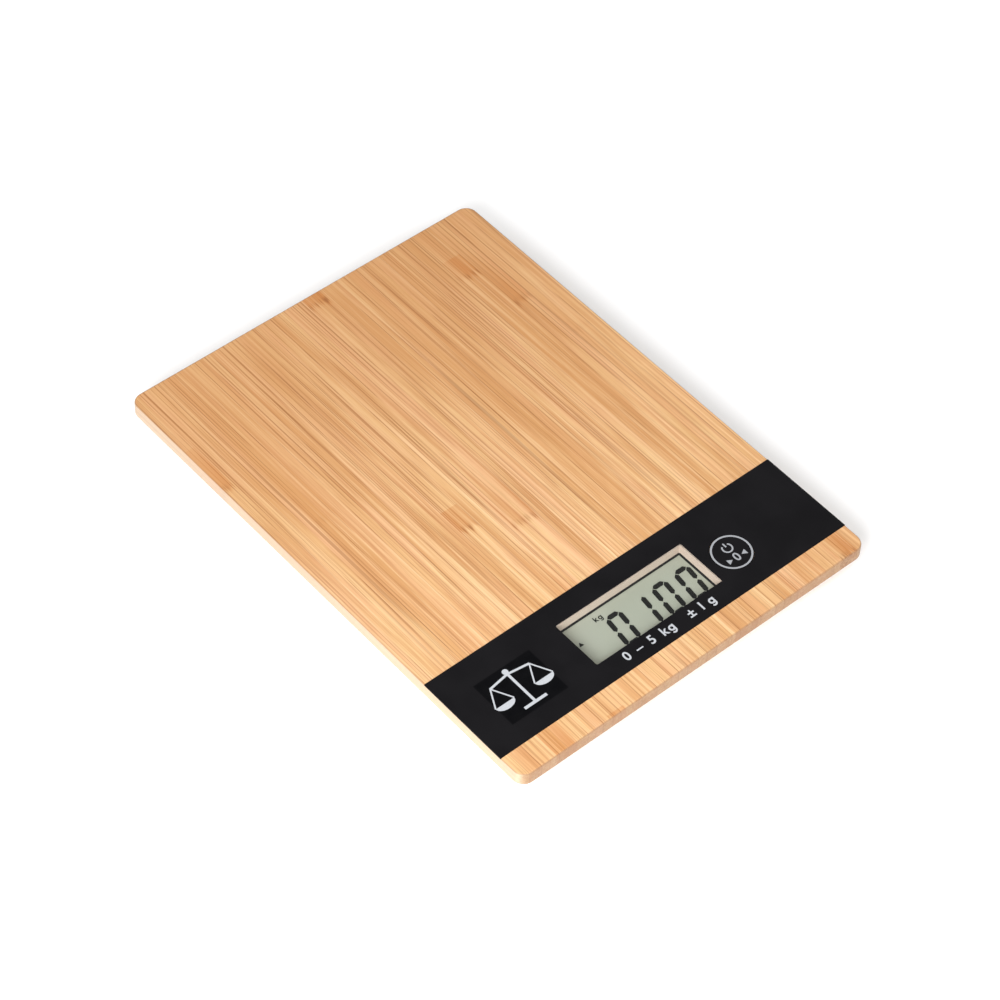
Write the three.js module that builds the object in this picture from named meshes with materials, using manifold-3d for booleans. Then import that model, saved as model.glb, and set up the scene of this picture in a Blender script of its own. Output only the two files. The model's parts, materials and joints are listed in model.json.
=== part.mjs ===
// Slim digital kitchen scale: a bamboo weighing board with a black display strip, a shallow
// housing screwed under it, and four load-cell feet.
//
// Millimetres, +Z up. The display side faces -Y. The origin is on the ground under the middle
// of the board.
import * as THREE from 'three';
import { mergeVertices } from 'three/addons/utils/BufferGeometryUtils.js';
import Module from 'manifold-3d';

const wasm = await Module();
wasm.setup();

// ---------------------------------------------------------------- driving sizes
// Board
const boardWidth = 170;
const boardLength = 230;
const boardThickness = 6;
const boardCorner = 5;
const boardEase = 0.6;

// Black strip, let into the top of the board across its whole width
const stripWidth = 42.2;
const stripMargin = 11.6;
const filmThickness = 0.5;

// Display
const windowWidth = 62;
const windowDepth = 23;
const windowCorner = 0.6;
const lensLap = 1.4;
const lensThickness = 0.8;
const bezelWall = 1.1;
const gasketThickness = 0.6;
const gasketSetback = 0.5;
const gasketWall = 0.6;
const lcdLap = 3;
const lcdThickness = 2;
const zebraHeight = 1.4;
const zebraWidth = 2;
const zebraEndLap = 2;

// Tare button, on the top
const buttonRadius = 8.2;
const buttonGapToWindow = 3.7;
const buttonDrop = 3.7;
const buttonDisc = 1.6;
const buttonStemRadius = 2.5;
const buttonTravel = 0.3;

// Circuit board
const pcbThickness = 1.2;
const pcbBackStrip = 8;
const pcbFrontLap = 1.2;
const pcbEndLap = 8;
const chipRadius = 5;
const chipHeight = 0.9;
const tareSwitchSize = 6;
const tareSwitchHeight = 3.3;
const tareSwitchStemRadius = 1.75;
const unitSwitchSize = 5;
const unitSwitchHeight = 1.5;
const unitSwitchStemRadius = 1.1;
const switchStemDepth = 0.7;

// Unit button, on the underside
const unitButtonWidth = 11;
const unitButtonLength = 5;
const unitButtonFlange = 0.6;
const unitButtonFlangeLap = 1;
const unitButtonTravel = 0.25;
const unitButtonX = -20;

// Housing under the board
const standHeight = 2.5;
const housingDepth = 9.5;
const housingInset = 10;
const housingCorner = 14;
const housingWall = 1.6;
const housingFloor = 2;
const housingEase = 1;

// Feet and load cells
const footRadius = 9;
const footRim = 1;
const footFlangeLap = 1.6;
const footFlangeThickness = 1;
const footDropBelowHousing = 1.5;
const footTravel = 0.4;
const footStudRadius = 2;
const footStudHeight = 0.8;
const padEase = 0.6;
const padSink = 0.8;
const cellRadius = 9.8;
const cellThickness = 1.2;
const cellRim = 2;
const cellSlot = 0.9;
const cellTongueWidth = 6;
const leadSlotShare = 0.6;
const bracketWall = 1.8;
const bracketRoof = 1.5;
const bracketLedge = 1.2;

// Battery
const cellBatteryRadius = 10;
const cellBatteryHeight = 3.2;
const cellBatteryRim = 0.6;
const batteryY = 20;
const hatchWidth = 27;
const hatchLength = 35;
const hatchCorner = 0.3;
const wellWall = 1.2;
const contactThickness = 0.4;
const contactWidth = 4;
const contactOffset = 6;
const contactTail = 3;
const hingePinRadius = 0.6;
const hingePinLength = 1.2;
const seatMargin = Math.PI / 24;
const thumbRadius = 7;
const thumbDepth = 1.1;
const latchWidth = 9;
const latchDepth = 8;
const latchSlot = 0.8;

// Screws
const housingScrewShank = 1.3;
const housingScrewHead = 2.8;
const housingScrewHeadHeight = 1.8;
const housingScrewBite = 3;
const housingScrewSink = 0.6;
const screwSlotWidthShare = 0.24;
const screwSlotReachShare = 0.6;
const bossWall = 1.3;
const bossEdge = 9;
const sideScrewSpacing = 96;
const pcbScrewShank = 0.9;
const pcbScrewHead = 1.9;
const pcbScrewHeadHeight = 1.2;
const pcbScrewBite = 2.2;
const pcbPostWall = 1.2;

// Wires
const cellLeadRadius = 0.7;
const batteryLeadRadius = 0.6;
const wireLift = 1.4;
const leadStraight = 4;
const leadTurn = 10;
const leadLaneInset = 8;
const leadSpread = 14;
const leadSwing = 8;
const leadRise = 1;
const rearLeadPadX = 14;
const frontLeadPadX = 22;
const batteryLeadGap = 3;

// ---------------------------------------------------------------- clearances
const bond = 0.05;
const fit = 0.3;
const closeFit = 0.15;
const cut = 1;

// ---------------------------------------------------------------- round finish
const footSides = 28;
const smallSides = 14;
const wireArcSteps = 4;
const cornerSteps = 2;
const boardCornerSteps = 4;
const seatSteps = 10;
const domeSteps = 4;

// ---------------------------------------------------------------- levels and places
const boardBottom = standHeight + housingDepth;
const boardTop = boardBottom + boardThickness;
const floorTop = standHeight + housingFloor;
const stripY = -boardLength / 2 + stripMargin + stripWidth / 2;
const filmBottom = boardTop - filmThickness;
const lensTop = filmBottom - bond;
const lensBottom = lensTop - lensThickness;
const gasketTop = boardBottom + gasketThickness;
const lcdTop = boardBottom - bond;
const lcdBottom = lcdTop - lcdThickness;
const pcbTop = lcdBottom - 2 * bond - zebraHeight;
const pcbBottom = pcbTop - pcbThickness;
const lcdWidth = windowWidth + 2 * lcdLap;
const lcdDepth = windowDepth + 2 * lcdLap;
const buttonX = windowWidth / 2 + buttonGapToWindow + buttonRadius;
const buttonY = stripY - buttonDrop;
const pcbLeft = -lcdWidth / 2 - pcbEndLap;
const pcbRight = buttonX + tareSwitchSize / 2 + closeFit;
const pcbFront = stripY - lcdDepth / 2 - pcbFrontLap;
const pcbBack = stripY + lcdDepth / 2 + pcbBackStrip;
const housingWidth = boardWidth - 2 * housingInset;
const housingLength = boardLength - 2 * housingInset;
const innerWidth = housingWidth - 2 * housingWall;
const innerLength = housingLength - 2 * housingWall;
const footBottom = standHeight - footDropBelowHousing;
const footFlangeBottom = floorTop + bond;
const footFlangeTop = footFlangeBottom + footFlangeThickness;
const footStudTop = footFlangeTop + footStudHeight;
const cellBottom = footStudTop + footTravel + closeFit;
const cellTop = cellBottom + cellThickness;
const bracketTop = boardBottom - bond;
const bracketRadius = cellRadius + fit + bracketWall;
const footFlangeRadius = footRadius + footFlangeLap;
const cornerReach = Math.max(bracketRadius, footFlangeRadius) + 2 * fit;
const footX = innerWidth / 2 - cornerReach;
const footY = innerLength / 2 - cornerReach;
const padRadius = footRadius - footRim - fit;
const batteryBottom = floorTop + closeFit;
const batteryTop = batteryBottom + cellBatteryHeight;
const contactBottom = batteryTop + closeFit;
const wellCeiling = contactBottom + contactThickness + bond;
const wellTop = wellCeiling + wellWall;
const hingeY = batteryY + hatchLength / 2 - housingFloor / 2 - closeFit;
const hingeZ = standHeight + housingFloor / 2;
const hatchFront = batteryY - hatchLength / 2;
const corners = [
  ['front_left', -1, -1],
  ['front_right', 1, -1],
  ['rear_left', -1, 1],
  ['rear_right', 1, 1],
];
const bossRadius = housingScrewHead + fit + bossWall;
const housingScrews = [
  ['front_left', -(innerWidth / 2 - bossEdge), -sideScrewSpacing / 2],
  ['front_right', innerWidth / 2 - bossEdge, -sideScrewSpacing / 2],
  ['rear_left', -(innerWidth / 2 - bossEdge), sideScrewSpacing / 2],
  ['rear_right', innerWidth / 2 - bossEdge, sideScrewSpacing / 2],
  ['front_middle', 0, pcbBack + bossRadius + fit],
  ['rear_middle', 0, innerLength / 2 - bossEdge],
];
const pcbScrewInset = pcbScrewHead + fit;
const pcbScrews = [
  ['back_left', pcbLeft + pcbScrewInset, pcbBack - pcbScrewInset],
  ['front_left', pcbLeft + pcbScrewInset, pcbFront + pcbScrewInset],
  ['back_right', pcbRight - pcbScrewInset, pcbBack - pcbScrewInset],
];

// ---------------------------------------------------------------- materials
function material(color, roughness, metalness) {
  return new THREE.MeshStandardMaterial({ color, roughness, metalness });
}

const bamboo = material(0xe3b27c, 0.55, 0);
const blackFilm = material(0x232326, 0.45, 0);
const clearSheet = material(0xe8efe8, 0.1, 0);
const ivoryPlastic = material(0xf1ece0, 0.5, 0);
const blackFoam = material(0x18181a, 0.95, 0);
const displayGlass = material(0xaab49c, 0.25, 0);
const greyRubber = material(0x4d4f55, 0.8, 0);
const greenBoard = material(0x1f6b3d, 0.5, 0);
const blackResin = material(0x101012, 0.35, 0);
const blackPlastic = material(0x1c1c1f, 0.5, 0);
const whitePlastic = material(0xe9e9e4, 0.5, 0);
const steel = material(0xb9bcc0, 0.35, 1);
const zincSteel = material(0xc4c2b8, 0.4, 1);
const whiteRubber = material(0xd7d7d2, 0.85, 0);
const wireJacket = material(0xb9322d, 0.6, 0);

// ---------------------------------------------------------------- shape helpers
// A closed three.js geometry as a manifold solid, with its coinciding vertices merged.
function solid(geometry) {
  const bare = geometry.clone();
  bare.deleteAttribute('normal');
  bare.deleteAttribute('uv');
  const merged = mergeVertices(bare, 1e-5);
  const index = merged.getIndex().array;
  const triangles = [];
  for (let i = 0; i < index.length; i += 3) {
    const [a, b, c] = [index[i], index[i + 1], index[i + 2]];
    if (a !== b && b !== c && c !== a) {
      triangles.push(a, b, c);
    }
  }
  const vertProperties = new Float32Array(merged.getAttribute('position').array);
  const triVerts = new Uint32Array(triangles);
  return new wasm.Manifold(new wasm.Mesh({ numProp: 3, vertProperties, triVerts }));
}

function join(first, ...others) {
  return others.reduce((sum, next) => sum.add(next), first);
}

function remove(first, ...others) {
  return others.reduce((rest, next) => rest.subtract(next), first);
}

function rectangle(width, length, corner) {
  const x = width / 2;
  const y = length / 2;
  const outline = new THREE.Shape();
  outline.moveTo(-x + corner, -y);
  outline.lineTo(x - corner, -y);
  outline.absarc(x - corner, -y + corner, corner, -Math.PI / 2, 0);
  outline.lineTo(x, y - corner);
  outline.absarc(x - corner, y - corner, corner, 0, Math.PI / 2);
  outline.lineTo(-x + corner, y);
  outline.absarc(-x + corner, y - corner, corner, Math.PI / 2, Math.PI);
  outline.lineTo(-x, -y + corner);
  outline.absarc(-x + corner, -y + corner, corner, Math.PI, Math.PI * 1.5);
  return outline;
}

// A plate with rounded corners, between two levels.
function plate(width, length, corner, low, high, x = 0, y = 0) {
  const options = { depth: high - low, bevelEnabled: false, curveSegments: cornerSteps };
  const geometry = new THREE.ExtrudeGeometry(rectangle(width, length, corner), options);
  return solid(geometry.translate(x, y, low));
}

// The same with its top and bottom edges eased.
function easedPlate(width, length, corner, low, high, ease) {
  const options = {
    depth: high - low - 2 * ease,
    bevelThickness: ease,
    bevelSize: ease,
    bevelOffset: -ease,
    bevelSegments: 2,
    curveSegments: boardCornerSteps,
  };
  const geometry = new THREE.ExtrudeGeometry(rectangle(width, length, corner), options);
  return solid(geometry.translate(0, 0, low + ease));
}

function block(x0, x1, y0, y1, z0, z1) {
  const geometry = new THREE.BoxGeometry(x1 - x0, y1 - y0, z1 - z0);
  return solid(geometry.translate((x0 + x1) / 2, (y0 + y1) / 2, (z0 + z1) / 2));
}

function rod(radius, low, high, x, y, sides = footSides) {
  const geometry = new THREE.CylinderGeometry(radius, radius, high - low, sides);
  return solid(geometry.rotateX(Math.PI / 2).translate(x, y, (low + high) / 2));
}

function crossRod(radius, x0, x1, y, z, sides = smallSides) {
  const geometry = new THREE.CylinderGeometry(radius, radius, x1 - x0, sides);
  return solid(geometry.rotateZ(Math.PI / 2).translate((x0 + x1) / 2, y, z));
}

// A turned piece: the profile runs as [radius, level] pairs from the axis at the bottom,
// out, up and back to the axis.
function turned(profile, sides) {
  const points = profile.map(([radius, level]) => new THREE.Vector2(radius, level));
  return solid(new THREE.LatheGeometry(points, sides).rotateX(Math.PI / 2));
}

function wire(radius, points) {
  const path = new THREE.CatmullRomCurve3(points.map((p) => new THREE.Vector3(...p)), false, 'centripetal');
  const section = new THREE.Shape();
  section.absarc(0, 0, radius, 0, 2 * Math.PI);
  const options = {
    steps: 4 * (points.length - 1),
    curveSegments: wireArcSteps,
    bevelEnabled: false,
    extrudePath: path,
  };
  return solid(new THREE.ExtrudeGeometry(section, options));
}

const scale = new THREE.Group();

function addPiece(name, shape, look, place = [0, 0, 0]) {
  const { vertProperties, triVerts } = shape.getMesh();
  const geometry = new THREE.BufferGeometry();
  geometry.setAttribute('position', new THREE.BufferAttribute(new Float32Array(vertProperties), 3));
  geometry.setIndex(new THREE.BufferAttribute(new Uint32Array(triVerts), 1));
  geometry.computeVertexNormals();
  const mesh = new THREE.Mesh(geometry, look);
  mesh.name = name;
  mesh.position.set(...place);
  scale.add(mesh);
}

// ---------------------------------------------------------------- board and strip
function makeBoard() {
  const body = easedPlate(boardWidth, boardLength, boardCorner, boardBottom, boardTop, boardEase);
  const stripBack = stripY + stripWidth / 2;
  const stripFront = stripY - stripWidth / 2;
  const reach = boardWidth / 2 + cut;
  const groove = block(-reach, reach, stripFront, stripBack, filmBottom - bond, boardTop + cut);
  const lensSeat = plate(
    windowWidth + 2 * lensLap + 2 * closeFit,
    windowDepth + 2 * lensLap + 2 * closeFit,
    windowCorner,
    lensBottom - bond,
    boardTop,
    0,
    stripY,
  );
  const shaft = plate(
    windowWidth + 2 * bezelWall + 2 * closeFit,
    windowDepth + 2 * bezelWall + 2 * closeFit,
    windowCorner,
    boardBottom - cut,
    boardTop,
    0,
    stripY,
  );
  const buttonFloor = boardTop - buttonDisc - buttonTravel - fit;
  const buttonSeat = rod(buttonRadius + fit, buttonFloor, boardTop, buttonX, buttonY);
  const buttonHole = rod(buttonStemRadius + fit, boardBottom - cut, boardTop, buttonX, buttonY, smallSides);
  const pilotTop = boardBottom + housingScrewBite + fit;
  const pilots = housingScrews.map(([, x, y]) =>
    rod(housingScrewShank + closeFit, boardBottom - cut, pilotTop, x, y, smallSides));
  return remove(body, groove, lensSeat, shaft, buttonSeat, buttonHole, ...pilots);
}

function makeFilm() {
  const body = block(
    -boardWidth / 2,
    boardWidth / 2,
    stripY - stripWidth / 2 + closeFit,
    stripY + stripWidth / 2 - closeFit,
    filmBottom,
    boardTop,
  );
  const opening = plate(windowWidth, windowDepth, windowCorner, filmBottom - cut, boardTop + cut, 0, stripY);
  const buttonOpening = rod(buttonRadius + fit, filmBottom - cut, boardTop + cut, buttonX, buttonY);
  return remove(body, opening, buttonOpening);
}

addPiece('bamboo_board', makeBoard(), bamboo);
addPiece('display_strip', makeFilm(), blackFilm);

// ---------------------------------------------------------------- display
function makeFrame(innerWide, innerDeep, wall, low, high) {
  const outer = plate(innerWide + 2 * wall, innerDeep + 2 * wall, windowCorner, low, high, 0, stripY);
  const inner = plate(innerWide, innerDeep, windowCorner, low - cut, high + cut, 0, stripY);
  return remove(outer, inner);
}

function makeZebra(side) {
  const half = lcdWidth / 2 - zebraEndLap;
  const y = stripY + side * (lcdDepth / 2 - zebraWidth);
  return block(-half, half, y - zebraWidth / 2, y + zebraWidth / 2, pcbTop + bond, lcdBottom - bond);
}

const lensWidth = windowWidth + 2 * lensLap;
const lensDepth = windowDepth + 2 * lensLap;
const lens = plate(lensWidth, lensDepth, windowCorner, lensBottom, lensTop, 0, stripY);
addPiece('display_window', lens, clearSheet);
addPiece(
  'display_bezel',
  makeFrame(windowWidth, windowDepth, bezelWall, gasketTop, lensBottom - bond),
  ivoryPlastic,
);
const gasketWidth = windowWidth + 2 * gasketSetback;
const gasketDepth = windowDepth + 2 * gasketSetback;
addPiece(
  'display_gasket',
  makeFrame(gasketWidth, gasketDepth, gasketWall, boardBottom, gasketTop - bond),
  blackFoam,
);
addPiece('lcd_panel', plate(lcdWidth, lcdDepth, windowCorner, lcdBottom, lcdTop, 0, stripY), displayGlass);
addPiece('zebra_connector_front', makeZebra(-1), greyRubber);
addPiece('zebra_connector_rear', makeZebra(1), greyRubber);

// ---------------------------------------------------------------- circuit board
function makeCircuitBoard() {
  const width = pcbRight - pcbLeft;
  const length = pcbBack - pcbFront;
  const middleX = (pcbLeft + pcbRight) / 2;
  const middleY = (pcbFront + pcbBack) / 2;
  const body = plate(width, length, windowCorner, pcbBottom, pcbTop, middleX, middleY);
  const holes = pcbScrews.map(([, x, y]) =>
    rod(pcbScrewShank + closeFit, pcbBottom - cut, pcbTop + cut, x, y, smallSides));
  const notches = corners.map(([, sx, sy]) =>
    rod(bracketRadius + fit, pcbBottom - cut, pcbTop + cut, sx * footX, sy * footY));
  return remove(body, ...holes, ...notches);
}

// A poured drop: a flat base under a quarter ellipse.
function makeChip() {
  const low = pcbTop + bond;
  const profile = [[0, low]];
  for (let step = 0; step <= domeSteps; step += 1) {
    const angle = (step / domeSteps) * (Math.PI / 2);
    profile.push([chipRadius * Math.cos(angle), low + chipHeight * Math.sin(angle)]);
  }
  profile[profile.length - 1][0] = 0;
  return turned(profile, smallSides);
}

addPiece('main_circuit_board', makeCircuitBoard(), greenBoard);
addPiece('controller_chip', makeChip(), blackResin, [0, stripY, 0]);

// ---------------------------------------------------------------- buttons and switches
const tareSwitchTop = pcbTop + bond + tareSwitchHeight;
const tareStemTop = tareSwitchTop + buttonTravel + closeFit;

function makeTareSwitch() {
  const half = tareSwitchSize / 2;
  const left = buttonX - half;
  const front = buttonY - half;
  const low = pcbTop + bond;
  const body = block(left, left + tareSwitchSize, front, front + tareSwitchSize, low, tareSwitchTop);
  const hole = rod(
    tareSwitchStemRadius + closeFit,
    tareSwitchTop - switchStemDepth - buttonTravel,
    tareSwitchTop + cut,
    buttonX,
    buttonY,
    smallSides,
  );
  return remove(body, hole);
}

function makeTareButton() {
  const stemBottom = tareStemTop + bond;
  const profile = [
    [0, stemBottom],
    [buttonStemRadius, stemBottom],
    [buttonStemRadius, boardTop - buttonDisc],
    [buttonRadius, boardTop - buttonDisc],
    [buttonRadius, boardTop],
    [0, boardTop],
  ];
  return turned(profile, 2 * footSides);
}

const tareStemBottom = tareSwitchTop - switchStemDepth + bond;
addPiece('tare_switch', makeTareSwitch(), blackPlastic);
addPiece(
  'tare_switch_plunger',
  rod(tareSwitchStemRadius, tareStemBottom, tareStemTop, buttonX, buttonY, smallSides),
  whitePlastic,
);
addPiece('tare_button', makeTareButton(), blackFilm, [buttonX, buttonY, 0]);

const unitButtonY = stripY;
const unitSwitchTop = pcbBottom - bond;
const unitSwitchBottom = unitSwitchTop - unitSwitchHeight;
const unitStemTop = unitSwitchBottom + switchStemDepth - bond;
const unitFlangeBottom = floorTop + bond;
const unitFlangeTop = unitFlangeBottom + unitButtonFlange;

function makeUnitSwitch() {
  const half = unitSwitchSize / 2;
  const body = block(
    unitButtonX - half,
    unitButtonX + half,
    unitButtonY - half,
    unitButtonY + half,
    unitSwitchBottom,
    unitSwitchTop,
  );
  const hole = rod(
    unitSwitchStemRadius + closeFit,
    unitSwitchBottom - cut,
    unitSwitchBottom + switchStemDepth + unitButtonTravel,
    unitButtonX,
    unitButtonY,
    smallSides,
  );
  return remove(body, hole);
}

function makeUnitButton() {
  const lap = 2 * unitButtonFlangeLap;
  const corner = unitButtonLength / 2 - closeFit;
  const face = plate(unitButtonWidth, unitButtonLength, corner, standHeight, unitFlangeTop);
  const flange = plate(unitButtonWidth + lap, unitButtonLength + lap, 1, unitFlangeBottom, unitFlangeTop);
  return join(face, flange);
}

addPiece('unit_switch', makeUnitSwitch(), blackPlastic);
addPiece(
  'unit_switch_plunger',
  rod(unitSwitchStemRadius, unitFlangeTop + bond, unitStemTop, unitButtonX, unitButtonY, smallSides),
  whitePlastic,
);
addPiece('unit_button', makeUnitButton(), whitePlastic, [unitButtonX, unitButtonY, 0]);

// ---------------------------------------------------------------- housing
function makeTray() {
  const top = boardBottom - bond;
  const blankTop = top + 2 * housingEase;
  const blank = easedPlate(housingWidth, housingLength, housingCorner, standHeight, blankTop, housingEase);
  const above = plate(boardWidth, boardLength, boardCorner, top, blankTop + cut);
  const hollow = plate(innerWidth, innerLength, housingCorner - housingWall, floorTop, top + cut);
  return remove(blank, above, hollow);
}

function makeBatteryWell() {
  return plate(
    hatchWidth + 2 * wellWall,
    hatchLength + 2 * wellWall,
    windowCorner,
    standHeight + housingFloor / 2,
    wellTop,
    0,
    batteryY,
  );
}

// A horseshoe that holds the coin cell, open towards the contacts.
function makeCellSeat() {
  const inner = cellBatteryRadius + fit;
  const outer = inner + wellWall;
  const opening = Math.asin((contactOffset + contactWidth / 2 + 2 * fit) / inner) + seatMargin;
  const from = opening - Math.PI / 2;
  const to = Math.PI * 1.5 - opening;
  const outline = new THREE.Shape();
  outline.absarc(0, 0, outer, from, to, false);
  outline.absarc(0, 0, inner, to, from, true);
  const options = { depth: wellCeiling + cut - batteryBottom, bevelEnabled: false, curveSegments: seatSteps };
  return solid(new THREE.ExtrudeGeometry(outline, options).translate(0, batteryY, batteryBottom));
}

function makeBoss([, x, y]) {
  return rod(bossRadius, floorTop - cut, boardBottom - bond, x, y, smallSides * 2);
}

function makeBossHole([, x, y]) {
  const headTop = standHeight + housingScrewSink + housingScrewHeadHeight + bond;
  const counterbore = rod(housingScrewHead + fit, standHeight - cut, headTop, x, y, smallSides * 2);
  const shank = rod(housingScrewShank + fit, standHeight, boardBottom + cut, x, y, smallSides);
  return join(counterbore, shank);
}

function makePost([, x, y]) {
  return rod(pcbScrewShank + pcbPostWall, floorTop - cut, pcbBottom - bond, x, y, smallSides);
}

function makePostHole([, x, y]) {
  return rod(pcbScrewShank + closeFit, floorTop + fit, boardBottom, x, y, smallSides);
}

function makeHousing() {
  const bosses = housingScrews.map(makeBoss);
  const posts = pcbScrews.map(makePost);
  const body = join(makeTray(), makeBatteryWell(), ...bosses, ...posts);
  const below = standHeight - cut;
  const wellHollow = plate(hatchWidth, hatchLength, hatchCorner, below, wellCeiling, 0, batteryY);
  const tailWidth = contactOffset + contactWidth / 2 + fit;
  const contactSlot = block(
    -tailWidth,
    tailWidth,
    hatchFront - wellWall - cut,
    hatchFront + cut,
    contactBottom - closeFit,
    wellCeiling,
  );
  const pinReach = hatchWidth / 2 + hingePinLength - closeFit;
  const pinGap = hingePinRadius + closeFit;
  const pinFloor = hingeZ - pinGap;
  const pinSlot = block(-pinReach, pinReach, hingeY - pinGap, hingeY + pinGap, pinFloor, floorTop + fit);
  const thumb = rod(thumbRadius, standHeight - cut, standHeight + thumbDepth, 0, hatchFront, smallSides * 2);
  const footHoles = corners.map(([, sx, sy]) =>
    rod(footRadius + fit, standHeight - cut, floorTop + cut, sx * footX, sy * footY));
  const unitHole = plate(
    unitButtonWidth + 2 * fit,
    unitButtonLength + 2 * fit,
    unitButtonLength / 2,
    standHeight - cut,
    floorTop + cut,
    unitButtonX,
    unitButtonY,
  );
  const hollowed = remove(
    body,
    wellHollow,
    contactSlot,
    pinSlot,
    thumb,
    unitHole,
    ...footHoles,
    ...housingScrews.map(makeBossHole),
    ...pcbScrews.map(makePostHole),
  );
  return join(hollowed, makeCellSeat());
}

addPiece('bottom_housing', makeHousing(), whitePlastic);

// ---------------------------------------------------------------- battery
// The cover's end is round about the hinge line, so it turns without touching the housing.
function makeBatteryCover() {
  const halfWidth = hatchWidth / 2 - fit;
  const tip = hatchFront + fit;
  const flat = block(-halfWidth, halfWidth, tip, hingeY, standHeight, floorTop);
  const knuckle = crossRod(housingFloor / 2, -halfWidth, halfWidth, hingeY, hingeZ, smallSides * 2);
  const pinReach = hatchWidth / 2 + hingePinLength - fit;
  const pins = crossRod(hingePinRadius, -pinReach, pinReach, hingeY, hingeZ);
  const slots = [-1, 1].map((side) => {
    const middle = (side * latchWidth) / 2;
    return block(
      middle - latchSlot / 2,
      middle + latchSlot / 2,
      tip - cut,
      tip + latchDepth,
      standHeight - cut,
      floorTop + cut,
    );
  });
  return remove(join(flat, knuckle, pins), ...slots);
}

function makeContact(side) {
  const x = side * contactOffset;
  const half = contactWidth / 2;
  const tail = hatchFront - wellWall - contactTail;
  const top = contactBottom + contactThickness;
  const legFace = batteryY - cellBatteryRadius + closeFit;
  const start = side > 0 ? legFace : batteryY - contactWidth / 2;
  const strip = block(x - half, x + half, tail, start, contactBottom, top);
  const legBack = legFace - contactThickness;
  const leg = block(x - half, x + half, legBack, legFace, batteryBottom + closeFit, contactBottom + bond);
  const dimple = rod(half / 2, batteryTop + bond, contactBottom + bond, x, start - half, smallSides);
  return join(strip, side > 0 ? leg : dimple);
}

function makeCoinCell() {
  const rim = cellBatteryRim;
  const profile = [
    [0, batteryBottom],
    [cellBatteryRadius - rim / 2, batteryBottom],
    [cellBatteryRadius, batteryBottom + rim / 2],
    [cellBatteryRadius, batteryTop - rim],
    [cellBatteryRadius - 2 * rim, batteryTop - rim],
    [cellBatteryRadius - 2 * rim, batteryTop],
    [0, batteryTop],
  ];
  return turned(profile, footSides);
}

addPiece('battery_cover', makeBatteryCover(), whitePlastic);
addPiece('coin_cell', makeCoinCell(), steel, [0, batteryY, 0]);
addPiece('battery_contact_positive', makeContact(1), zincSteel);
addPiece('battery_contact_negative', makeContact(-1), zincSteel);

// ---------------------------------------------------------------- feet and load cells
function makeFootCap() {
  const profile = [
    [0, padSink + footBottom],
    [padRadius + fit, padSink + footBottom],
    [padRadius + fit, footBottom],
    [footRadius, footBottom],
    [footRadius, footFlangeBottom],
    [footFlangeRadius, footFlangeBottom],
    [footFlangeRadius, footFlangeTop],
    [footStudRadius, footFlangeTop],
    [footStudRadius, footStudTop],
    [0, footStudTop],
  ];
  return turned(profile, footSides);
}

function makeFootPad() {
  const top = footBottom + padSink - bond;
  const profile = [
    [0, 0],
    [padRadius - padEase, 0],
    [padRadius, padEase],
    [padRadius, top],
    [0, top],
  ];
  return turned(profile, footSides);
}

// A steel disc with a three-sided slot, which leaves a tongue for the foot to push on.
function makeLoadCell() {
  const body = rod(cellRadius, cellBottom, cellTop, 0, 0);
  const reach = cellRadius - cellRim;
  const half = cellTongueWidth / 2;
  const sides = [-1, 1].map((side) => {
    const x = side * (half + cellSlot / 2);
    return block(x - cellSlot / 2, x + cellSlot / 2, -reach / 2, reach / 2, cellBottom - cut, cellTop + cut);
  });
  const width = half + cellSlot;
  const end = block(-width, width, reach / 2 - cellSlot, reach / 2, cellBottom - cut, cellTop + cut);
  return remove(body, ...sides, end);
}

function makeBracket() {
  const pocket = cellRadius + fit;
  const rimBottom = cellBottom;
  const ledgeBottom = cellTop + bond;
  const profile = [
    [0, bracketTop - bracketRoof],
    [pocket - bracketLedge, bracketTop - bracketRoof],
    [pocket - bracketLedge, ledgeBottom],
    [pocket, ledgeBottom],
    [pocket, rimBottom],
    [bracketRadius, rimBottom],
    [bracketRadius, bracketTop],
    [0, bracketTop],
  ];
  return turned(profile, footSides);
}

// The lead leaves the bracket towards the middle of the scale, through a slot in its wall.
function makeBracketSlot(sy) {
  const half = cellLeadRadius + fit;
  const ends = [-sy * cellRadius * leadSlotShare, -sy * (bracketRadius + cut)];
  return block(-half, half, Math.min(...ends), Math.max(...ends), cellTop - cut, bracketTop - bracketRoof);
}

for (const [name, sx, sy] of corners) {
  const place = [sx * footX, sy * footY, 0];
  addPiece(`sensor_bracket_${name}`, remove(makeBracket(), makeBracketSlot(sy)), ivoryPlastic, place);
  addPiece(`load_cell_${name}`, makeLoadCell(), steel, place);
  addPiece(`foot_cap_${name}`, makeFootCap(), whitePlastic, place);
  addPiece(`foot_pad_${name}`, makeFootPad(), whiteRubber, place);
}

// ---------------------------------------------------------------- screws
function makeScrew(shank, head, headHeight, length) {
  const profile = [
    [0, 0],
    [head, 0],
    [head, headHeight],
    [shank, headHeight],
    [shank, headHeight + length - shank],
    [0, headHeight + length],
  ];
  return turned(profile, smallSides);
}

function makeCrossSlot(head, depth) {
  const width = head * screwSlotWidthShare;
  const reach = head * screwSlotReachShare;
  const along = block(-reach, reach, -width / 2, width / 2, -cut, depth);
  const across = block(-width / 2, width / 2, -reach, reach, -cut, depth);
  return join(along, across);
}

const housingScrewStart = standHeight + housingScrewSink;
const housingScrewEnd = boardBottom + housingScrewBite;
const housingScrewLength = housingScrewEnd - housingScrewStart - housingScrewHeadHeight;
for (const [name, x, y] of housingScrews) {
  const screw = makeScrew(housingScrewShank, housingScrewHead, housingScrewHeadHeight, housingScrewLength);
  const shape = remove(screw, makeCrossSlot(housingScrewHead, housingScrewHeadHeight / 2));
  addPiece(`housing_screw_${name}`, shape, zincSteel, [x, y, housingScrewStart]);
}

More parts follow.
